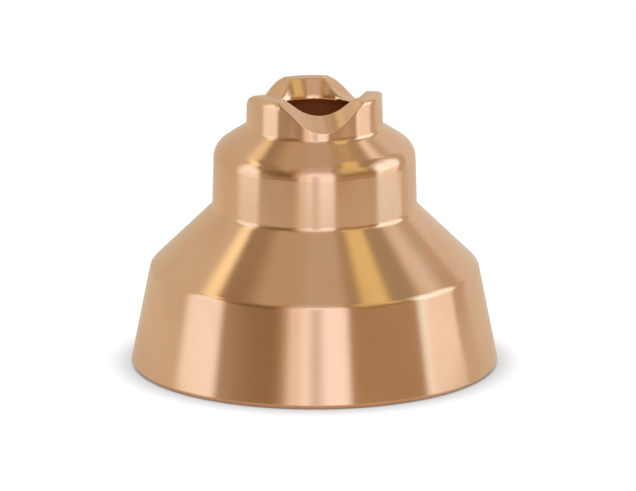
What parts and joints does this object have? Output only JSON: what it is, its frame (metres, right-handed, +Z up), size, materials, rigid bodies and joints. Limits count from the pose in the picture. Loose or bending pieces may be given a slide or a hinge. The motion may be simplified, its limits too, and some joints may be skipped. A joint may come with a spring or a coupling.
{
  "type": "plasma torch shield",
  "caption": "Turned copper shield for a hand-held plasma torch: threaded skirt, stepped nose and a lobed crown that drags on the work round the arc bore.",
  "frame": {"origin": "centre of the rim that the shield stands on", "axes": "+Z runs up the turning axis through the arc bore to the crown; one notch of the crown faces -Y"},
  "size_m": [0.034, 0.034, 0.026],
  "materials": {
    "copper": "gloss"
  },
  "bodies": {
    "root": {"shield": "copper"}
  },
  "joints": []
}
